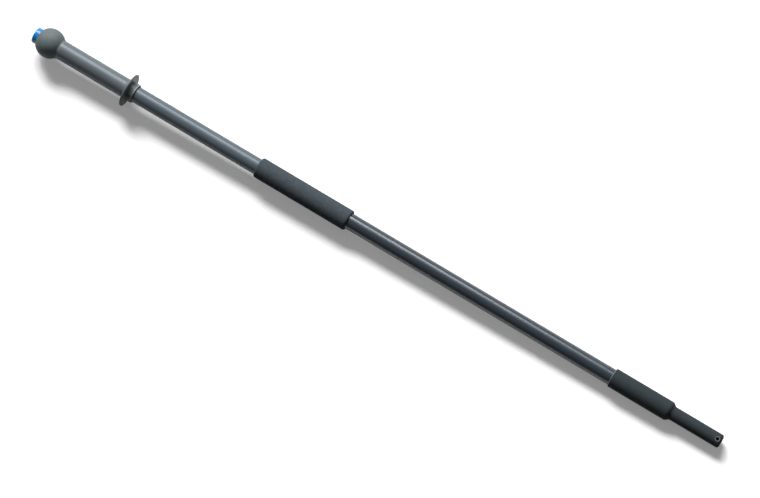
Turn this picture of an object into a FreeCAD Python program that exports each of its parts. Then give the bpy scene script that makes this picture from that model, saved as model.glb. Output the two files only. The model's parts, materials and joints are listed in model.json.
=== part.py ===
"""Pole for window cleaning tools, with a swivelling ball handle.

The pole lies along X. The origin is on its axis at the root of the tool spigot, where a
tool's socket stops; +X runs out of the spigot's tip, the handle is on the -X side and the
lock hole faces +Z. All sizes are in millimetres.

Three bodies move against each other:
  pole    connector, tubes, coupler, foam grip and the swivel plug in the top of the tube
  handle  sleeve, hand guard, bushes and ball, which turn on the tube about X
  button  blue button, stem, clip and brake cone, which slide along X inside the ball
A spring keeps the brake cone in its seat in the swivel plug; pressing the button frees it.
"""
import FreeCAD, Part
import math
import os

from FreeCAD import Vector

# --- fits -------------------------------------------------------------------------------
slip_fit = 0.05         # radial gap where one piece is pushed into another and stays
running_fit = 0.06      # radial gap where a shaft turns or slides in its bore
working_gap = 0.3       # gap between pieces that pass each other without guiding
face_gap = 0.1          # gap between two flat faces that turn against each other
cone_gap = 0.12         # gap, square to the cone, between the brake cone and its seat
edge_break = 0.5        # chamfer on the edges of the small inner pieces

# --- tool connector ---------------------------------------------------------------------
spigot_diameter = 23.5
spigot_length = 89.2
tip_rounding = 3.5
tip_wall = 3.5
core_diameter = 15.5    # bore that the moulding core leaves inside the spigot
shoulder_slope = 45.0   # degrees, of the flank between spigot and barrel
shoulder_rounding = 7.5
barrel_wall = 2.55      # round the tube's socket
barrel_length = 105.0
barrel_floor = 13.0     # solid length between the socket and the shoulder
barrel_rim_chamfer = 0.7
lock_hole_diameter = 4.5
lock_hole_sink = 7.5    # diameter of its countersink
lock_hole_from_tip = 6.4

# --- tubes and what joins and closes them -----------------------------------------------
tube_diameter = 28.0
tube_wall = 1.5
lower_tube_shown = 505.0
upper_tube_shown = 241.6
coupler_length = 120.0
coupler_wall = 2.5
coupler_rib = 4.0       # width of the rib that the two tube ends butt against
plug_flange = 2.0
plug_length = 16.0
plug_wall = 3.5

# --- foam grip --------------------------------------------------------------------------
foam_wall = 4.05
foam_length = 176.4
foam_front_rounding = 3.6
foam_rear_rounding = 2.4

# --- hand guard and bushes --------------------------------------------------------------
guard_diameter = 59.0
guard_thickness = 3.0
guard_rim_rounding = 1.4
guard_root_rounding = 1.0
guard_flare = 5.0       # radius of the flare from the sleeve up to the disc
guard_land = 1.0        # short straight length that the sleeve butts against
guard_hub = 15.0        # how far the guard's hub goes into the sleeve
collar_wall = 1.25
collar_length = 11.4
bush_length = 14.0
lower_bush_wall = 1.45
upper_bush_wall = 1.2
bush_nose = 1.6         # how far the lower bush stands out of the collar

# --- sleeve and swivel ------------------------------------------------------------------
sleeve_wall = 1.2
grip_length = 133.2     # from the guard's disc to the ball's neck
swivel_flange = 2.5
swivel_plug_length = 30.0
washer_thickness = 0.8
brake_depth = 12.0
brake_wide_diameter = 20.0
brake_narrow_diameter = 9.0
brake_nose = 2.0        # straight rim of the cone, past its seat

# --- ball -------------------------------------------------------------------------------
ball_diameter = 51.0
ball_skin_wall = 2.5
ball_rim_wall = 1.2     # flat rim of the core round the button's bore
ball_core_cones = 5     # cones that the core's round outside is made of
neck_step = 0.7         # how far the neck stands out past the sleeve
neck_skin_wall = 1.2
neck_reach = 21.4       # from the ball's centre to the neck's end face
neck_hollow = 2.0       # radius of the hollow curve between ball and neck
ball_spigot_length = 14.0
ball_spigot_wall = 2.8
web_thickness = 4.0
web_from_centre = 2.4   # from the ball's centre to the web's face under the spring

# --- button, stem and spring ------------------------------------------------------------
button_diameter = 28.0
button_reach = 30.1     # from the ball's centre to the button's outer face
button_crown = 0.5      # how far the face's centre stands out past its edge
button_rounding = 2.6
button_wall = 2.0
button_face = 2.8
button_travel = 4.0
skirt_room = 1.5        # left between the pressed button's skirt and the web
boss_diameter = 9.0
boss_length = 14.0
stem_diameter = 6.0
stem_step = 0.5         # shoulder at each end of the stem
stem_end_length = 8.0
clip_diameter = 11.0
clip_thickness = 0.8
clip_groove_depth = 0.7
clip_mouth = 3.6        # width of the opening that snaps over the stem
screw_diameter = 3.0
screw_hole_depth = 10.0
screw_head_diameter = 5.6
screw_head_height = 1.8
seal_section = 2.0      # thickness of the sealing ring round the stem
seal_from_flange = 8.0
spring_wire = 1.2
spring_diameter = 16.0  # at the middle of the wire
spring_turns = 6.5
spring_steps = 16       # straight lengths of wire in one turn
spring_sides = 6        # flats round the wire

# --- radii that several pieces share ----------------------------------------------------
tube_outer = tube_diameter / 2
tube_bore = tube_outer - tube_wall
spigot_radius = spigot_diameter / 2
barrel_radius = tube_outer + slip_fit + barrel_wall
lower_bush_radius = tube_outer + running_fit + lower_bush_wall
upper_bush_radius = tube_outer + running_fit + upper_bush_wall
sleeve_bore = upper_bush_radius + slip_fit
sleeve_radius = sleeve_bore + sleeve_wall
neck_radius = sleeve_radius + neck_step
button_bore = button_diameter / 2 + working_gap
stem_radius = stem_diameter / 2
stem_end_radius = stem_radius - stem_step

# --- stations along the axis, from the tool end to the button ---------------------------
tip_x = spigot_length
shoulder_run = (barrel_radius - spigot_radius) / math.tan(math.radians(shoulder_slope))
shoulder_tangent = shoulder_rounding * math.tan(math.radians(shoulder_slope) / 2)
barrel_front_x = -(shoulder_run + 2 * shoulder_tangent)
barrel_rear_x = barrel_front_x - barrel_length
socket_floor_x = barrel_front_x - barrel_floor
lower_tube_front_x = socket_floor_x - plug_flange
foam_front_x = barrel_rear_x - lower_tube_shown
foam_rear_x = foam_front_x - foam_length
coupler_x = (foam_front_x + foam_rear_x) / 2
lower_tube_rear_x = coupler_x + coupler_rib / 2
upper_tube_front_x = coupler_x - coupler_rib / 2
collar_x = foam_rear_x - upper_tube_shown
disc_front_x = collar_x - collar_length
disc_rear_x = disc_front_x - guard_thickness
sleeve_front_x = disc_rear_x - guard_flare - guard_land
sleeve_rear_x = disc_rear_x - grip_length
ball_x = sleeve_rear_x - neck_reach
ball_spigot_x = sleeve_rear_x + ball_spigot_length
swivel_rear_x = ball_spigot_x + washer_thickness + 2 * face_gap
seal_x = swivel_rear_x + seal_from_flange
tube_top_x = swivel_rear_x + swivel_flange
brake_mouth_x = tube_top_x + swivel_plug_length
brake_throat_x = brake_mouth_x - brake_depth
cone_rear_x = brake_throat_x + face_gap
cone_front_x = brake_mouth_x + brake_nose
stem_front_x = cone_rear_x + stem_end_length
screw_hole_x = stem_front_x - screw_hole_depth
web_rear_x = ball_x + web_from_centre
web_front_x = web_rear_x + web_thickness
clip_rear_x = web_front_x + face_gap
clip_front_x = clip_rear_x + clip_thickness
button_outer_x = ball_x - button_reach
button_inner_x = button_outer_x + button_crown + button_face
boss_x = button_inner_x + boss_length
skirt_x = web_rear_x - button_travel - skirt_room


def turned(corners):
    """Solid turned about the X axis from its half section.

    corners lists (x, radius) or (x, radius, rounding) in order round the section. A
    rounding is kept to what its two neighbouring sides leave room for.
    """
    points = [Vector(corner[0], 0, corner[1]) for corner in corners]
    roundings = [corner[2] if len(corner) > 2 else 0.0 for corner in corners]
    count = len(points)
    starts, ends, arcs = [], [], []
    for i, point in enumerate(points):
        before = points[i - 1] - point
        after = points[(i + 1) % count] - point
        start = end = point
        arc = None
        if roundings[i] > 0:
            half_angle = before.getAngle(after) / 2
            room = 0.49 * min(before.Length, after.Length)
            tangent = min(roundings[i] / math.tan(half_angle), room)
            radius = tangent * math.tan(half_angle)
            before.normalize()
            after.normalize()
            start = point + before * tangent
            end = point + after * tangent
            inward = before + after
            inward.normalize()
            middle = point + inward * (radius / math.sin(half_angle) - radius)
            arc = Part.Arc(start, middle, end).toShape()
        starts.append(start)
        ends.append(end)
        arcs.append(arc)
    edges = []
    for i in range(count):
        if ends[i - 1].distanceToPoint(starts[i]) > 1e-6:
            edges.append(Part.LineSegment(ends[i - 1], starts[i]).toShape())
        if arcs[i]:
            edges.append(arcs[i])
    face = Part.Face(Part.Wire(edges))
    return face.revolve(Vector(0, 0, 0), Vector(1, 0, 0), 360)


def bar(x_from, x_to, radius):
    """Round bar on the X axis."""
    start = min(x_from, x_to)
    return Part.makeCylinder(radius, abs(x_to - x_from), Vector(start, 0, 0), Vector(1, 0, 0))


def ring(x_from, x_to, inner, outer):
    """Plain ring or tube on the X axis."""
    return bar(x_from, x_to, outer).cut(bar(x_from, x_to, inner))


# --- pole -------------------------------------------------------------------------------
def tool_connector():
    """One moulding: socket for the tube, barrel, curved shoulder and hollow spigot."""
    socket = tube_outer + slip_fit
    core = core_diameter / 2
    core_end_x = tip_x - tip_wall
    spigot_foot_x = -shoulder_tangent
    body = turned([
        (core_end_x, 0),
        (tip_x, 0),
        (tip_x, spigot_radius, tip_rounding),
        (spigot_foot_x, spigot_radius, shoulder_rounding),
        (spigot_foot_x - shoulder_run, barrel_radius, shoulder_rounding),
        (barrel_rear_x + barrel_rim_chamfer, barrel_radius),
        (barrel_rear_x, barrel_radius - barrel_rim_chamfer),
        (barrel_rear_x, socket),
        (socket_floor_x, socket),
        (socket_floor_x, core),
        (core_end_x, core),
    ])
    hole = lock_hole_diameter / 2
    sink = lock_hole_sink / 2
    up = Vector(0, 0, 1)
    hole_x = tip_x - lock_hole_from_tip
    sink_floor = Vector(hole_x, 0, spigot_radius - sink + hole)
    drill = Part.makeCylinder(hole, spigot_radius, Vector(hole_x, 0, 0), up)
    countersink = Part.makeCone(hole, hole + sink, sink, sink_floor, up)
    return body.cut(drill.fuse(countersink))


def tube_plug():
    """Rubber bung that keeps water out of the lower tube; its flange cushions the tube end."""
    flange = tube_outer - slip_fit
    outer = tube_bore - slip_fit
    inner = outer - plug_wall
    rear_x = lower_tube_front_x - plug_length
    return turned([
        (socket_floor_x, inner),
        (socket_floor_x, flange),
        (lower_tube_front_x, flange),
        (lower_tube_front_x, outer),
        (rear_x + edge_break, outer),
        (rear_x, outer - edge_break),
        (rear_x, 0),
        (rear_x + plug_wall, 0),
        (rear_x + plug_wall, inner),
    ])


def lower_tube():
    return ring(lower_tube_rear_x, lower_tube_front_x, tube_bore, tube_outer)


def upper_tube():
    return ring(tube_top_x, upper_tube_front_x, tube_bore, tube_outer)


def tube_coupler():
    """Ferrule under the foam grip: it fills both tube ends, and its rib parts them."""
    outer = tube_bore - slip_fit
    inner = outer - coupler_wall
    front_x = coupler_x + coupler_length / 2
    rear_x = coupler_x - coupler_length / 2
    return turned([
        (front_x, inner),
        (front_x, outer - edge_break),
        (front_x - edge_break, outer),
        (lower_tube_rear_x, outer),
        (lower_tube_rear_x, tube_outer),
        (upper_tube_front_x, tube_outer),
        (upper_tube_front_x, outer),
        (rear_x + edge_break, outer),
        (rear_x, outer - edge_break),
        (rear_x, inner),
    ])


def foam_grip():
    """Foam tube stretched over the pole, with soft rounded ends."""
    inner = tube_outer + slip_fit
    outer = inner + foam_wall
    return turned([
        (foam_front_x, inner),
        (foam_front_x, outer, foam_front_rounding),
        (foam_rear_x, outer, foam_rear_rounding),
        (foam_rear_x, inner),
    ])


def swivel_plug():
    """Plug in the top of the tube: its flange holds the handle on, its cone is the brake seat."""
    outer = tube_bore - slip_fit
    flange = sleeve_bore - working_gap
    bore = stem_radius + working_gap
    groove = seal_section / 2 + slip_fit
    groove_floor = stem_radius + seal_section + 2 * slip_fit
    return turned([
        (brake_throat_x, bore),
        (brake_throat_x, brake_narrow_diameter / 2),
        (brake_mouth_x, brake_wide_diameter / 2),
        (brake_mouth_x, outer),
        (tube_top_x, outer),
        (tube_top_x, flange),
        (swivel_rear_x, flange),
        (swivel_rear_x, bore),
        (seal_x - groove, bore),
        (seal_x - groove, groove_floor),
        (seal_x + groove, groove_floor),
        (seal_x + groove, bore),
    ])


def stem_seal():
    """Sealing ring in the swivel plug's groove, round the stem."""
    section = seal_section / 2
    middle = stem_radius + slip_fit + section
    return Part.makeTorus(middle, section, Vector(seal_x, 0, 0), Vector(1, 0, 0))


# --- handle -----------------------------------------------------------------------------
def hand_guard():
    """Disc with a collar in front for the bush and a hub behind inside the sleeve."""
    disc = guard_diameter / 2
    hub = sleeve_bore - slip_fit
    hub_end_x = sleeve_front_x - guard_hub
    pocket = lower_bush_radius + slip_fit
    collar = pocket + collar_wall
    pocket_floor_x = collar_x - bush_length
    bore = tube_outer + working_gap
    return turned([
        (collar_x, pocket),
        (collar_x, collar - edge_break),
        (collar_x - edge_break, collar),
        (disc_front_x, collar, guard_root_rounding),
        (disc_front_x, disc, guard_rim_rounding),
        (disc_rear_x, disc, guard_rim_rounding),
        (disc_rear_x, sleeve_radius, guard_flare),
        (sleeve_front_x, sleeve_radius),
        (sleeve_front_x, hub),
        (hub_end_x, hub),
        (hub_end_x, bore),
        (pocket_floor_x, bore),
        (pocket_floor_x, pocket),
    ])


def lower_bush():
    """Plain bush in the guard's collar; its chamfered nose stands out round the tube."""
    inner = tube_outer + running_fit
    nose_x = collar_x + bush_nose
    rear_x = collar_x - bush_length
    return turned([
        (nose_x, inner),
        (nose_x, lower_bush_radius - edge_break),
        (nose_x - edge_break, lower_bush_radius),
        (rear_x, lower_bush_radius),
        (rear_x, inner),
    ])


def handle_sleeve():
    """Aluminium sleeve for the upper hand, from the guard to the ball."""
    return ring(sleeve_rear_x, sleeve_front_x, sleeve_bore, sleeve_radius)


def upper_bush():
    """Plain bush inside the sleeve; the swivel plug's flange pulls against its end."""
    rear_x = tube_top_x + face_gap
    return ring(rear_x, rear_x + bush_length, tube_outer + running_fit, upper_bush_radius)


def thrust_washer():
    """Low-friction washer between the swivel plug and the ball's spigot."""
    outer = sleeve_bore - slip_fit
    front_x = ball_spigot_x + washer_thickness
    return ring(ball_spigot_x, front_x, outer - ball_spigot_wall, outer)


def core_outline(growth):
    """Outside of the ball's core: cones between circles on a sphere, then the neck.

    growth is added all over it, for the hollow that the core fills.
    """
    sphere = ball_diameter / 2 - ball_skin_wall + growth
    neck = neck_radius - neck_skin_wall + growth
    first = math.asin((button_bore + ball_rim_wall) / sphere)
    last = math.pi - math.asin(neck / sphere)
    outline = []
    for circle in range(ball_core_cones + 1):
        angle = first + (last - first) * circle / ball_core_cones
        outline.append((ball_x - sphere * math.cos(angle), sphere * math.sin(angle)))
    return outline + [(sleeve_rear_x, neck)]


def ball_core():
    """Hard core of the ball: button bore, web for spring and stem, neck and spigot."""
    outline = core_outline(0)
    rim_x = outline[0][0]
    spigot = sleeve_bore - slip_fit
    stem_bore = stem_radius + running_fit
    return turned([(rim_x, button_bore)] + outline + [
        (sleeve_rear_x, spigot),
        (ball_spigot_x, spigot),
        (ball_spigot_x, spigot - ball_spigot_wall),
        (web_front_x, spigot - ball_spigot_wall),
        (web_front_x, stem_bore),
        (web_rear_x, stem_bore),
        (web_rear_x, button_bore),
    ])


def ball_skin():
    """Soft skin moulded over the core, with a hollow curve into a short neck."""
    ball = ball_diameter / 2
    opening = button_bore + slip_fit
    centre = Vector(ball_x, 0, 0)
    hollow_rise = neck_radius + neck_hollow
    hollow_run = math.sqrt((ball + neck_hollow) ** 2 - hollow_rise ** 2)
    hollow_centre = Vector(ball_x + hollow_run, 0, hollow_rise)
    ball_start = Vector(ball_x - math.sqrt(ball ** 2 - opening ** 2), 0, opening)
    ball_end = centre + (hollow_centre - centre) * (ball / (ball + neck_hollow))
    hollow_end = Vector(hollow_centre.x, 0, neck_radius)
    to_middle = (ball_end - hollow_centre) + (hollow_end - hollow_centre)
    to_middle.normalize()
    edges = [
        Part.Arc(ball_start, centre + Vector(0, 0, ball), ball_end).toShape(),
        Part.Arc(ball_end, hollow_centre + to_middle * neck_hollow, hollow_end).toShape(),
    ]
    inside = core_outline(slip_fit)
    corners = [(sleeve_rear_x - edge_break, neck_radius), (sleeve_rear_x, neck_radius - edge_break)]
    corners += list(reversed(inside)) + [(inside[0][0], opening)]
    points = [hollow_end] + [Vector(x, 0, radius) for x, radius in corners] + [ball_start]
    for start, end in zip(points, points[1:]):
        edges.append(Part.LineSegment(start, end).toShape())
    face = Part.Face(Part.Wire(edges))
    return face.revolve(Vector(0, 0, 0), Vector(1, 0, 0), 360)


# --- button -----------------------------------------------------------------------------
def end_button():
    """Blue cup with a crowned face, a skirt that slides in the ball and a boss inside."""
    outer = button_diameter / 2
    inner = outer - button_wall
    boss = boss_diameter / 2
    socket = stem_end_radius + slip_fit
    socket_floor = boss_x - stem_end_length
    return turned([
        (button_outer_x, 0),
        (button_outer_x, outer / 2, outer),
        (button_outer_x + button_crown, outer, button_rounding),
        (skirt_x, outer),
        (skirt_x, inner),
        (button_inner_x, inner),
        (button_inner_x, boss),
        (boss_x, boss),
        (boss_x, socket),
        (socket_floor, socket),
        (socket_floor, 0),
    ])


def button_stem():
    """Turned rod from the button through the ball's web and the swivel plug to the cone."""
    rear_x = boss_x - stem_end_length
    thread = screw_diameter / 2 + slip_fit
    groove = stem_radius - clip_groove_depth
    groove_rear_x = clip_rear_x - face_gap / 2
    groove_front_x = clip_front_x + face_gap / 2
    return turned([
        (rear_x, 0),
        (rear_x, stem_end_radius - edge_break),
        (rear_x + edge_break, stem_end_radius),
        (boss_x, stem_end_radius),
        (boss_x, stem_radius),
        (groove_rear_x, stem_radius),
        (groove_rear_x, groove),
        (groove_front_x, groove),
        (groove_front_x, stem_radius),
        (cone_rear_x, stem_radius),
        (cone_rear_x, stem_end_radius),
        (stem_front_x, stem_end_radius),
        (stem_front_x, thread),
        (screw_hole_x, thread),
        (screw_hole_x, 0),
    ])


def stem_clip():
    """Open retaining clip in the stem's groove: it stops the button from leaving the ball."""
    inner = stem_radius - clip_groove_depth + slip_fit
    outer = clip_diameter / 2
    clip = ring(clip_rear_x, clip_front_x, inner, outer)
    corner = Vector(clip_rear_x, -clip_mouth / 2, 0)
    return clip.cut(Part.makeBox(clip_thickness, clip_mouth, outer, corner))


def brake_cone():
    """Cone on the stem's end that the spring draws into the swivel plug's seat."""
    slope = math.atan2((brake_wide_diameter - brake_narrow_diameter) / 2, brake_depth)
    inset = cone_gap / math.cos(slope)
    narrow = brake_narrow_diameter / 2 - inset + face_gap * math.tan(slope)
    wide = brake_wide_diameter / 2 - inset
    bore = stem_end_radius + slip_fit
    return turned([
        (cone_rear_x, bore),
        (cone_rear_x, narrow),
        (brake_mouth_x, wide),
        (cone_front_x - edge_break, wide),
        (cone_front_x, wide - edge_break),
        (cone_front_x, bore),
    ])


def cone_screw():
    """Screw that holds the cone on the stem: shank in the stem's end, head on the cone."""
    shank = screw_diameter / 2
    head = screw_head_diameter / 2
    head_x = cone_front_x + screw_head_height
    return turned([
        (screw_hole_x + edge_break, 0),
        (screw_hole_x + edge_break, shank),
        (cone_front_x, shank),
        (cone_front_x, head),
        (head_x - edge_break, head),
        (head_x, head - edge_break),
        (head_x, 0),
    ])


def return_spring():
    """Helical spring from the button's inner face to the ball's web, its wire with flats."""
    wire = spring_wire / 2
    start_x = button_inner_x + slip_fit + wire
    rise = web_rear_x - slip_fit - wire - start_x
    steps = round(spring_turns * spring_steps)
    sections = []
    for step in range(steps + 1):
        turn = 2 * math.pi * spring_turns * step / steps
        section = []
        for side in range(spring_sides):
            angle = 2 * math.pi * side / spring_sides
            x = start_x + rise * step / steps + wire * math.sin(angle)
            radius = spring_diameter / 2 + wire * math.cos(angle)
            section.append(Vector(x, radius * math.cos(turn), radius * math.sin(turn)))
        sections.append(section)
    outlines = [sections[0], sections[-1]]
    for here, ahead in zip(sections, sections[1:]):
        for side in range(spring_sides):
            following = (side + 1) % spring_sides
            outlines.append([here[side], here[following], ahead[following]])
            outlines.append([here[side], ahead[following], ahead[side]])
    faces = [Part.Face(Part.makePolygon(outline + outline[:1])) for outline in outlines]
    return Part.Solid(Part.Shell(faces))


pieces = {
    "tool_connector": tool_connector,
    "tube_plug": tube_plug,
    "lower_tube": lower_tube,
    "tube_coupler": tube_coupler,
    "foam_grip": foam_grip,
    "upper_tube": upper_tube,
    "swivel_plug": swivel_plug,
    "stem_seal": stem_seal,
    "hand_guard": hand_guard,
    "lower_bush": lower_bush,
    "handle_sleeve": handle_sleeve,
    "upper_bush": upper_bush,
    "thrust_washer": thrust_washer,
    "ball_core": ball_core,
    "ball_skin": ball_skin,
    "end_button": end_button,
    "button_stem": button_stem,
    "stem_clip": stem_clip,
    "brake_cone": brake_cone,
    "cone_screw": cone_screw,
    "return_spring": return_spring,
}

os.makedirs("parts", exist_ok=True)
for name, make in pieces.items():
    make().exportStep(f"parts/{name}.step")
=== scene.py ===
"""Studio view of the window cleaning pole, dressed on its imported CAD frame."""

import json
import math

import bpy
from mathutils import Matrix, Vector, noise

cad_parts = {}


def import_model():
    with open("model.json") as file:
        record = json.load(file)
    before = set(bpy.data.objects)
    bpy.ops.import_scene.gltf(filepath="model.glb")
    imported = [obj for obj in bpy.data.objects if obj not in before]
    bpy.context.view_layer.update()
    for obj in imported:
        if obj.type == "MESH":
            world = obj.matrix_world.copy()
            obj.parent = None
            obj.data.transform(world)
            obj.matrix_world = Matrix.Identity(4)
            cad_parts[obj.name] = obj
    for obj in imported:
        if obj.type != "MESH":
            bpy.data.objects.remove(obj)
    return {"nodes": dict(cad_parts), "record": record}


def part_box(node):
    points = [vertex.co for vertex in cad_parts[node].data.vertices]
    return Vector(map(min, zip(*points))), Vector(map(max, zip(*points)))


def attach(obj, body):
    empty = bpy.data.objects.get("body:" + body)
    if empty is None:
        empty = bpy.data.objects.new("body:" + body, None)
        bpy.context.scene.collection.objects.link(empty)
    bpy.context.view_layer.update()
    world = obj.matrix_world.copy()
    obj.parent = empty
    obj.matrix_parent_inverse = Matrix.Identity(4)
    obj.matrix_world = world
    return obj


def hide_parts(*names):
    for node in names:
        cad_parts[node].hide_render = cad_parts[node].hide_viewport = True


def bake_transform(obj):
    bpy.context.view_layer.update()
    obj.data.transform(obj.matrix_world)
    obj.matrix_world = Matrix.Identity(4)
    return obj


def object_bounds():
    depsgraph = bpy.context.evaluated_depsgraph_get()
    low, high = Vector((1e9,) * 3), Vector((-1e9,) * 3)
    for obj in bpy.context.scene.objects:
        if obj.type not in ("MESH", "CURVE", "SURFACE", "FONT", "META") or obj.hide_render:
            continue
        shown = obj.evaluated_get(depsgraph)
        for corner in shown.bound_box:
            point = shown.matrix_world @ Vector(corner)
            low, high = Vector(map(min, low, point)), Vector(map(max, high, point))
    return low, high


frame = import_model()
cad_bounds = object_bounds()
nodes = frame["nodes"]

AXIS = Vector((1, 0, 0))
UP = Vector((0, 0, 1))
MM = 0.001


# --- places read from the frame ---------------------------------------------------------
def radius_of(node):
    """Largest radius of a turned CAD node about the pole's axis."""
    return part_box(node)[1].y


def span_of(node):
    """Lowest and highest X of a CAD node."""
    low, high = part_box(node)
    return low.x, high.x


# --- materials --------------------------------------------------------------------------
NOISE_RANGE = (0.25, 0.75)
DIE_LINE_DEPTH = 0.004 * MM     # also of the marks on turned steel


class Surface:
    """A Principled material whose look is built from noise in the object's own coordinates."""

    def __init__(self, name, colour, roughness, metallic=0.0, specular=0.5):
        self.material = bpy.data.materials.new(name)
        self.material.use_nodes = True
        self.tree = self.material.node_tree
        self.shader = self.tree.nodes["Principled BSDF"]
        self.shader.inputs["Base Color"].default_value = (*colour, 1)
        self.shader.inputs["Roughness"].default_value = roughness
        self.shader.inputs["Metallic"].default_value = metallic
        self.shader.inputs["Specular IOR Level"].default_value = specular
        self.colour = colour
        self.roughness = roughness
        self.place = self.node("ShaderNodeTexCoord").outputs["Object"]
        self.base = None
        self.height = None

    def node(self, kind, **settings):
        """New node of this kind in the material, with these settings."""
        made = self.tree.nodes.new(kind)
        for key, value in settings.items():
            setattr(made, key, value)
        return made

    def link(self, output, socket):
        self.tree.links.new(output, socket)

    def grain(self, size, detail=3.0, stretch=(1, 1, 1)):
        """Noise of about this feature size in metres, longer along an axis by its stretch."""
        mapping = self.node("ShaderNodeMapping")
        mapping.inputs["Scale"].default_value = [1 / (size * factor) for factor in stretch]
        self.link(self.place, mapping.inputs["Vector"])
        texture = self.node("ShaderNodeTexNoise")
        texture.inputs["Scale"].default_value = 1.0
        texture.inputs["Detail"].default_value = detail
        self.link(mapping.outputs["Vector"], texture.inputs["Vector"])
        return texture.outputs["Fac"]

    def cells(self, size):
        """Distance to the nearest cell centre, for cells of about this size in metres."""
        texture = self.node("ShaderNodeTexVoronoi")
        texture.inputs["Scale"].default_value = 1 / size
        self.link(self.place, texture.inputs["Vector"])
        return texture.outputs["Distance"]

    def spread(self, value, low, high):
        """A noise value, which lies mostly within NOISE_RANGE, spread from low to high."""
        remap = self.node("ShaderNodeMapRange")
        remap.inputs["From Min"].default_value = NOISE_RANGE[0]
        remap.inputs["From Max"].default_value = NOISE_RANGE[1]
        remap.inputs["To Min"].default_value = low
        remap.inputs["To Max"].default_value = high
        self.link(value, remap.inputs["Value"])
        return remap.outputs["Result"]

    def vary_colour(self, value, amount):
        """Base colour goes darker and lighter by this share with value."""
        mix = self.node("ShaderNodeMix", data_type="RGBA")
        mix.inputs["A"].default_value = (*[c * (1 - amount) for c in self.colour], 1)
        mix.inputs["B"].default_value = (*[min(c * (1 + amount), 1) for c in self.colour], 1)
        self.link(self.spread(value, 0, 1), mix.inputs["Factor"])
        self.base = mix.outputs["Result"]
        self.link(self.base, self.shader.inputs["Base Color"])

    def vector(self, operation, first, second=None, output="Vector"):
        """Result of a vector operation on a socket and, where given, a constant."""
        made = self.node("ShaderNodeVectorMath", operation=operation)
        self.link(first, made.inputs[0])
        if second is not None:
            made.inputs[1].default_value = second
        return made.outputs[output]

    def circle_distance(self, centre, axis, radius):
        """Distance in metres to a circle round an axis along X, Y or Z through its centre."""
        offset = self.vector("SUBTRACT", self.place, centre)
        across = Vector((1, 1, 1)) - axis
        reach = self.vector("LENGTH", self.vector("MULTIPLY", offset, across), output="Value")
        rise = self.vector("DOT_PRODUCT", offset, axis, output="Value")
        outside = self.node("ShaderNodeMath", operation="SUBTRACT")
        self.link(reach, outside.inputs[0])
        outside.inputs[1].default_value = radius
        joined = self.node("ShaderNodeCombineXYZ")
        self.link(outside.outputs[0], joined.inputs["X"])
        self.link(rise, joined.inputs["Y"])
        return self.vector("LENGTH", joined.outputs[0], output="Value")

    def paint_edge_highlight(self, distance, width, colour):
        """Painted highlight: base colour turns to this paler one where the distance to an edge is
        under the width.
        """
        fade = self.node("ShaderNodeMapRange", interpolation_type="SMOOTHSTEP")
        fade.inputs["From Min"].default_value = 0.5 * width
        fade.inputs["From Max"].default_value = width
        fade.inputs["To Min"].default_value = 1.0
        fade.inputs["To Max"].default_value = 0.0
        self.link(distance, fade.inputs["Value"])
        mix = self.node("ShaderNodeMix", data_type="RGBA")
        self.link(fade.outputs["Result"], mix.inputs["Factor"])
        self.link(self.base, mix.inputs["A"])
        mix.inputs["B"].default_value = (*colour, 1)
        self.base = mix.outputs["Result"]
        self.link(self.base, self.shader.inputs["Base Color"])

    def vary_roughness(self, value, amount):
        """Roughness goes down and up by this amount with value."""
        low, high = self.roughness - amount, self.roughness + amount
        self.link(self.spread(value, low, high), self.shader.inputs["Roughness"])

    def bump(self, value, depth):
        """Relief of this depth in metres, on top of any that is there."""
        relief = self.node("ShaderNodeBump")
        relief.inputs["Strength"].default_value = 1.0
        relief.inputs["Distance"].default_value = depth
        self.link(value, relief.inputs["Height"])
        if self.height is not None:
            self.link(self.height, relief.inputs["Normal"])
        self.height = relief.outputs["Normal"]
        self.link(self.height, self.shader.inputs["Normal"])


def anodised(name, colour, roughness, specular, blast, metallic=0.15):
    """Drawn and anodised aluminium: long faint die lines, and a fine relief of depth blast."""
    surface = Surface(name, colour, roughness, metallic, specular)
    lines = surface.grain(0.5 * MM, detail=2, stretch=(120, 1, 1))
    mottle = surface.grain(14 * MM, stretch=(4, 1, 1))
    surface.vary_colour(mottle, 0.05)
    surface.vary_roughness(lines, 0.05)
    surface.bump(lines, DIE_LINE_DEPTH)
    surface.bump(surface.grain(0.35 * MM), blast)
    return surface


def moulded(name, colour, roughness, grain_depth, specular=0.5):
    """Injection-moulded plastic with a fine spark-eroded grain."""
    surface = Surface(name, colour, roughness, specular=specular)
    fine = surface.grain(0.4 * MM)
    surface.vary_colour(surface.grain(9 * MM), 0.08)
    surface.vary_roughness(fine, 0.06)
    surface.bump(fine, grain_depth)
    return surface


def foamed(name, colour):
    """Closed-cell foam: small cut cells and soft dents."""
    surface = Surface(name, colour, 0.92, specular=0.05)
    cells = surface.cells(0.9 * MM)
    surface.vary_colour(surface.grain(5 * MM, detail=5), 0.14)
    surface.bump(surface.grain(7 * MM, detail=4), 0.25 * MM)
    surface.bump(cells, 0.12 * MM)
    return surface


def turned_steel(name, colour):
    """Bright steel with fine marks round the axis."""
    surface = Surface(name, colour, 0.28, metallic=1.0)
    marks = surface.grain(0.2 * MM, detail=2, stretch=(1, 40, 40))
    surface.vary_colour(surface.grain(3 * MM), 0.06)
    surface.vary_roughness(marks, 0.08)
    surface.bump(marks, DIE_LINE_DEPTH)
    return surface


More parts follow.
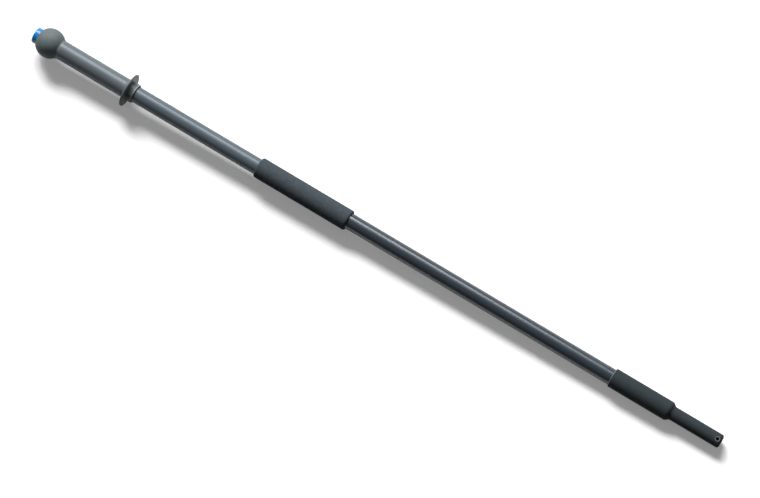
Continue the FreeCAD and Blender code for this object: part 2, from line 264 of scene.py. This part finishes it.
LOWER_TUBE = anodised("lower_tube_anodised", (0.034, 0.046, 0.058), 0.28, 0.48, 0.004 * MM)
UPPER_TUBE = anodised("upper_tube_anodised", (0.086, 0.108, 0.126), 0.36, 0.20, 0.008 * MM)
SLEEVE = anodised("sleeve_anodised", (0.105, 0.126, 0.139), 0.40, 0.20, 0.012 * MM)
BARE = anodised("bare_aluminium", (0.74, 0.75, 0.77), 0.38, 0.50, 0.006 * MM, metallic=1.0)
CONNECTOR = moulded("connector_plastic", (0.030, 0.038, 0.042), 0.70, 0.012 * MM, 0.05)
GUARD = moulded("guard_plastic", (0.100, 0.122, 0.125), 0.45, 0.010 * MM, 0.2)
INNER = moulded("inner_plastic", (0.010, 0.011, 0.012), 0.45, 0.008 * MM, 0.3)
SKIN = moulded("ball_rubber", (0.100, 0.125, 0.128), 0.62, 0.020 * MM, 0.2)
RUBBER = moulded("inner_rubber", (0.020, 0.020, 0.020), 0.65, 0.015 * MM)
BLUE = moulded("button_plastic", (0.003, 0.165, 0.46), 0.30, 0.004 * MM)
FOAM = foamed("grip_foam", (0.050, 0.062, 0.071))
STEEL = turned_steel("turned_steel", (0.62, 0.61, 0.60))

FINISH = {
    "tool_connector": CONNECTOR,
    "tube_plug": RUBBER,
    "lower_tube": LOWER_TUBE,
    "tube_coupler": BARE,
    "upper_tube": UPPER_TUBE,
    "swivel_plug": INNER,
    "stem_seal": RUBBER,
    "hand_guard": GUARD,
    "lower_bush": INNER,
    "handle_sleeve": SLEEVE,
    "upper_bush": INNER,
    "thrust_washer": INNER,
    "ball_core": INNER,
    "ball_skin": SKIN,
    "end_button": BLUE,
    "button_stem": STEEL,
    "stem_clip": STEEL,
    "brake_cone": INNER,
    "cone_screw": STEEL,
}
for name, surface in FINISH.items():
    nodes[name].data.materials.clear()
    nodes[name].data.materials.append(surface.material)

# Painted highlights: pale rings in the base colour stand in for the light caught by the barrel's
# rear rim, the lock hole's countersink, the guard's collar and the end of the sleeve. Each is a
# circle, with its colour and the width of its edge.
# Painted glint on the barrel's rear rim and on the countersink's rim.
PAINTED_GLINT = (0.16, 0.18, 0.19)
# Painted highlight on the guard's collar rim and on the sleeve's end, where those edges catch the
# light.
PAINTED_RIM_HIGHLIGHT = (0.36, 0.37, 0.39)
COUNTERSINK_RADIUS = 3.75 * MM
COUNTERSINK_DROP = 0.3 * MM     # its rim lies on a round bar, so below the bar's top
COLLAR_WALL = 1.3 * MM          # from the bush's outside to the collar's outside
mounts = {mount["name"]: mount for mount in frame["record"]["mounts"]}
spigot_radius = mounts["tool_spigot"]["dims"]["r_mm"] * MM
hole_x = mounts["lock_hole"]["pos_m"][0]
hole_rim = Vector((hole_x, 0, spigot_radius - COUNTERSINK_DROP))
barrel_rear = AXIS * span_of("tool_connector")[0]
collar_front = AXIS * span_of("hand_guard")[1]
collar_radius = radius_of("lower_bush") + COLLAR_WALL
sleeve_end = AXIS * span_of("handle_sleeve")[0]
for surface, centre, axis, radius, width, colour in (
    (CONNECTOR, barrel_rear, AXIS, radius_of("tool_connector"), 1.0 * MM, PAINTED_GLINT),
    (CONNECTOR, hole_rim, UP, COUNTERSINK_RADIUS, 0.8 * MM, PAINTED_GLINT),
    (GUARD, collar_front, AXIS, collar_radius, 1.4 * MM, PAINTED_RIM_HIGHLIGHT),
    (SLEEVE, sleeve_end, AXIS, radius_of("handle_sleeve"), 0.8 * MM, PAINTED_RIM_HIGHLIGHT),
):
    surface.paint_edge_highlight(surface.circle_distance(centre, axis, radius), width, colour)


# --- foam grip --------------------------------------------------------------------------
FOAM_SEGMENTS = 96      # round the axis
FOAM_RINGS = 60         # along the straight part, close enough for the dents
FOAM_ARC_STEPS = 8
FOAM_LOW_ROUNDING = 2.4 * MM
FOAM_HIGH_ROUNDING = 3.6 * MM
FOAM_BORE_GAP = 0.3 * MM    # the dents narrow the bore too, down to about the tube's surface
DENT_DEPTH = 0.17 * MM      # mean depth; the deepest dent has twice this
DENT_SIZE = 11 * MM


def smooth_object(name, points, faces):
    """New object with a smooth-shaded mesh of these points and faces."""
    mesh = bpy.data.meshes.new(name)
    mesh.from_pydata(points, [], faces)
    mesh.shade_smooth()
    made = bpy.data.objects.new(name, mesh)
    bpy.context.collection.objects.link(made)
    return made


def lathe(name, outline, segments, relief):
    """Closed mesh turned about X from a ring of (x, radius); relief moves each point."""
    points, faces = [], []
    for x, radius in outline:
        for step in range(segments):
            angle = 2 * math.pi * step / segments
            point = Vector((x, radius * math.cos(angle), radius * math.sin(angle)))
            points.append(relief(point))
    rings = len(outline)
    for ring in range(rings):
        ahead = (ring + 1) % rings
        for step in range(segments):
            beside = (step + 1) % segments
            faces.append((
                ring * segments + step,
                ahead * segments + step,
                ahead * segments + beside,
                ring * segments + beside,
            ))
    return smooth_object(name, points, faces)


def rounded(x, outer, rounding, outward):
    """Quarter circle from the face at x to the outside; outward is +1 at the high end."""
    arc = []
    for step in range(FOAM_ARC_STEPS + 1):
        angle = math.pi / 2 * step / FOAM_ARC_STEPS
        arc.append((
            x - outward * rounding * (1 - math.cos(angle)),
            outer - rounding * (1 - math.sin(angle)),
        ))
    return arc


def foam_outline(low, high, inner, outer, low_rounding, high_rounding):
    """Half section of the foam tube, with rounded outer ends."""
    flat_low, flat_high = low + low_rounding, high - high_rounding
    flat = [
        (flat_low + (flat_high - flat_low) * step / FOAM_RINGS, outer)
        for step in range(1, FOAM_RINGS)
    ]
    return (
        [(low, inner)]
        + rounded(low, outer, low_rounding, -1)
        + flat
        + list(reversed(rounded(high, outer, high_rounding, 1)))
        + [(high, inner)]
    )


def foam_relief(point):
    """Soft dents: the point moves in by up to twice the mean depth, and never out."""
    depth = DENT_DEPTH * (1 + noise.noise(point / DENT_SIZE))
    across = Vector((0, point.y, point.z))
    return point - across.normalized() * min(depth, across.length)


foam_low, foam_high = span_of("foam_grip")
foam = lathe(
    "foam_sleeve",
    foam_outline(
        foam_low, foam_high, radius_of("upper_tube") + FOAM_BORE_GAP, radius_of("foam_grip"),
        FOAM_LOW_ROUNDING, FOAM_HIGH_ROUNDING,
    ),
    FOAM_SEGMENTS,
    foam_relief,
)
foam.data.materials.append(FOAM.material)
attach(foam, "pole")
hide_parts("foam_grip")


# --- return spring ----------------------------------------------------------------------
SPRING_WIRE = 1.2 * MM
SPRING_TURNS = 6.5
WIRE_SIDES = 8
STEPS_PER_TURN = 24


def coil(name, low, high, outer, wire, turns):
    """Spring of round wire along X between two planes, as one closed mesh."""
    sides, steps = WIRE_SIDES, round(STEPS_PER_TURN * turns)
    points, faces = [], []
    for step in range(steps + 1):
        turn = 2 * math.pi * turns * step / steps
        x = low + wire / 2 + (high - low - wire) * step / steps
        for side in range(sides):
            angle = 2 * math.pi * side / sides
            radius = outer - wire / 2 + wire / 2 * math.cos(angle)
            place = (radius * math.cos(turn), radius * math.sin(turn))
            points.append((x + wire / 2 * math.sin(angle), *place))
    for step in range(steps):
        here, ahead = step * sides, (step + 1) * sides
        for side in range(sides):
            beside = (side + 1) % sides
            faces.append((here + side, ahead + side, ahead + beside, here + beside))
    faces.append(tuple(range(sides)))
    faces.append(tuple(reversed(range(steps * sides, (steps + 1) * sides))))
    return smooth_object(name, points, faces)


# Built in place between the frame's spring ends, at the button and at the ball's web; it does not
# move with the button.
spring_low, spring_high = span_of("return_spring")
spring = coil(
    "spring_wire", spring_low, spring_high, radius_of("return_spring"), SPRING_WIRE, SPRING_TURNS,
)
spring.data.materials.append(STEEL.material)
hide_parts("return_spring")
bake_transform(spring)


# --- camera -----------------------------------------------------------------------------
# It looks down on the lying pole, a little from the tool's end and from the -Y side.
CAMERA_DISTANCE = 8.185     # metres
LENS = 236.8                # mm, on a sensor 36 mm wide
AIM_SHARE = 0.5159          # how far along the pole the camera aims
AIM_DROP = 13.6 * MM        # and how far beside it, on its lower side in the picture
tilt, roll, image_slope = math.radians(10.0), math.radians(7.0), math.radians(30.74)
back = Vector((
    math.sin(tilt),
    -math.cos(tilt) * math.sin(roll),
    math.cos(tilt) * math.cos(roll),
))
along = (AXIS - back * AXIS.dot(back)).normalized()
across = back.cross(along)
right = along * math.cos(image_slope) + across * math.sin(image_slope)
top = across * math.cos(image_slope) - along * math.sin(image_slope)

pole_low, pole_high = cad_bounds[0].x, cad_bounds[1].x
aim = AXIS * (pole_low + AIM_SHARE * (pole_high - pole_low)) - across * AIM_DROP

camera = bpy.data.objects.new("camera", bpy.data.cameras.new("camera"))
camera.data.sensor_width = 36.0
camera.data.lens = LENS
camera.data.clip_end = 50.0
camera.matrix_world = Matrix.Translation(aim + back * CAMERA_DISTANCE) @ Matrix(
    (right, top, back)
).transposed().to_4x4()
bpy.context.collection.objects.link(camera)
bpy.context.scene.camera = camera


# --- floor ------------------------------------------------------------------------------
FLOOR_SIZE = 40.0           # metres
FLOOR_GAP = 0.2 * MM        # under the guard's disc
BARREL_FRONT = -15 * MM     # X of the place on the barrel that the floor lies under
FLOOR_WHITE = 0.88          # colour for the camera, reflections and what is seen through
FLOOR_GREY = 0.30           # colour for the light that the floor sends on to the pole
FLOOR_GLOW = 0.21           # its own light, for the same rays as FLOOR_WHITE


def grey(value):
    """Opaque grey as a colour with alpha."""
    return (value, value, value, 1)


def flat_floor():
    """Plane just under the guard's disc, sloped to pass under the barrel's front."""
    disc_x = span_of("lower_bush")[0]    # the bush ends inside the disc
    disc_z = -radius_of("hand_guard")
    barrel_z = -radius_of("tool_connector")
    slope = math.atan2(barrel_z - disc_z, BARREL_FRONT - disc_x)
    mesh = bpy.data.meshes.new("floor")
    half = FLOOR_SIZE / 2
    corners = [(-half, -half, 0), (half, -half, 0), (half, half, 0), (-half, half, 0)]
    mesh.from_pydata(corners, [], [(0, 1, 2, 3)])
    floor = bpy.data.objects.new("floor", mesh)
    floor.location = (disc_x, 0, disc_z - FLOOR_GAP)
    floor.rotation_euler = (0, -slope, 0)
    bpy.context.collection.objects.link(floor)
    return floor


def floor_material():
    """White sheet as seen, but greyer for the light it sends on, with a little glow as seen."""
    surface = Surface("floor_white", grey(FLOOR_WHITE)[:3], 0.9, specular=0.0)
    ray = surface.node("ShaderNodeLightPath")
    seen = surface.node("ShaderNodeMath", operation="MAXIMUM")
    surface.link(ray.outputs["Is Camera Ray"], seen.inputs[0])
    surface.link(ray.outputs["Is Glossy Ray"], seen.inputs[1])
    seen_too = surface.node("ShaderNodeMath", operation="MAXIMUM")
    surface.link(seen.outputs[0], seen_too.inputs[0])
    surface.link(ray.outputs["Is Transmission Ray"], seen_too.inputs[1])
    glow = surface.node("ShaderNodeMath", operation="MULTIPLY")
    surface.link(seen_too.outputs[0], glow.inputs[0])
    glow.inputs[1].default_value = FLOOR_GLOW
    sheet = surface.node("ShaderNodeMix", data_type="RGBA")
    sheet.inputs["A"].default_value = grey(FLOOR_GREY)
    sheet.inputs["B"].default_value = grey(FLOOR_WHITE)
    surface.link(seen_too.outputs[0], sheet.inputs["Factor"])
    surface.link(sheet.outputs["Result"], surface.shader.inputs["Base Color"])
    surface.shader.inputs["Emission Color"].default_value = grey(1)
    surface.link(glow.outputs[0], surface.shader.inputs["Emission Strength"])
    return surface.material


floor = flat_floor()
floor.data.materials.append(floor_material())


# --- light ------------------------------------------------------------------------------
SUN_ANGLE = math.radians(16)
ROOM_HEIGHTS = (0.45, 0.95)     # Z of a direction of length 1: between these two,
ROOM_STRENGTHS = (0.05, 0.12)   # the room goes from the first strength to the second


def lamp(name, kind, direction, strength, reach=4.0, **settings):
    """Light that shines onto the camera's aim from this direction, reach metres away."""
    data = bpy.data.lights.new(name, kind)
    data.energy = strength
    for key, value in settings.items():
        setattr(data, key, value)
    made = bpy.data.objects.new(name, data)
    direction = direction.normalized()
    made.location = aim + direction * reach
    made.rotation_mode = "QUATERNION"
    beside = AXIS - direction * AXIS.dot(direction)
    beside.normalize()
    turn = Matrix((beside, direction.cross(beside), direction)).transposed()
    made.rotation_quaternion = turn.to_quaternion()
    bpy.context.collection.objects.link(made)


def toward(lean_along, lean_across):
    """Direction to a lamp that leans this much along the pole and across it for each unit up."""
    return AXIS * lean_along + Vector((0, lean_across, 0)) + UP


for name, lean_along, lean_across, strength in (
    ("key_handle_end", -1.15, 0.86, 1.30),
    ("key_middle", -0.80, 0.85, 2.00),
    ("key_tool_end", -0.45, 0.95, 1.30),
):
    lamp(name, "SUN", toward(lean_along, lean_across), strength, angle=SUN_ANGLE)
lamp(
    "strip", "AREA", toward(-0.65, 1.5), 24.0, reach=2.2,
    shape="RECTANGLE", size=1.6, size_y=0.25,
)


def world():
    """Room: dim round the horizon, a little lighter overhead, the same for every kind of ray."""
    made = bpy.data.worlds.new("room")
    bpy.context.scene.world = made
    made.use_nodes = True
    tree = made.node_tree
    place = tree.nodes.new("ShaderNodeTexCoord")
    split = tree.nodes.new("ShaderNodeSeparateXYZ")
    tree.links.new(place.outputs["Generated"], split.inputs["Vector"])
    ramp = tree.nodes.new("ShaderNodeMapRange")
    ramp.interpolation_type = "SMOOTHSTEP"
    ramp.inputs["From Min"].default_value = ROOM_HEIGHTS[0]
    ramp.inputs["From Max"].default_value = ROOM_HEIGHTS[1]
    ramp.inputs["To Min"].default_value = ROOM_STRENGTHS[0]
    ramp.inputs["To Max"].default_value = ROOM_STRENGTHS[1]
    tree.links.new(split.outputs["Z"], ramp.inputs["Value"])
    tree.links.new(ramp.outputs["Result"], tree.nodes["Background"].inputs["Strength"])
    tree.nodes["Background"].inputs["Color"].default_value = grey(1)


world()
bpy.context.scene.view_settings.view_transform = "Standard"
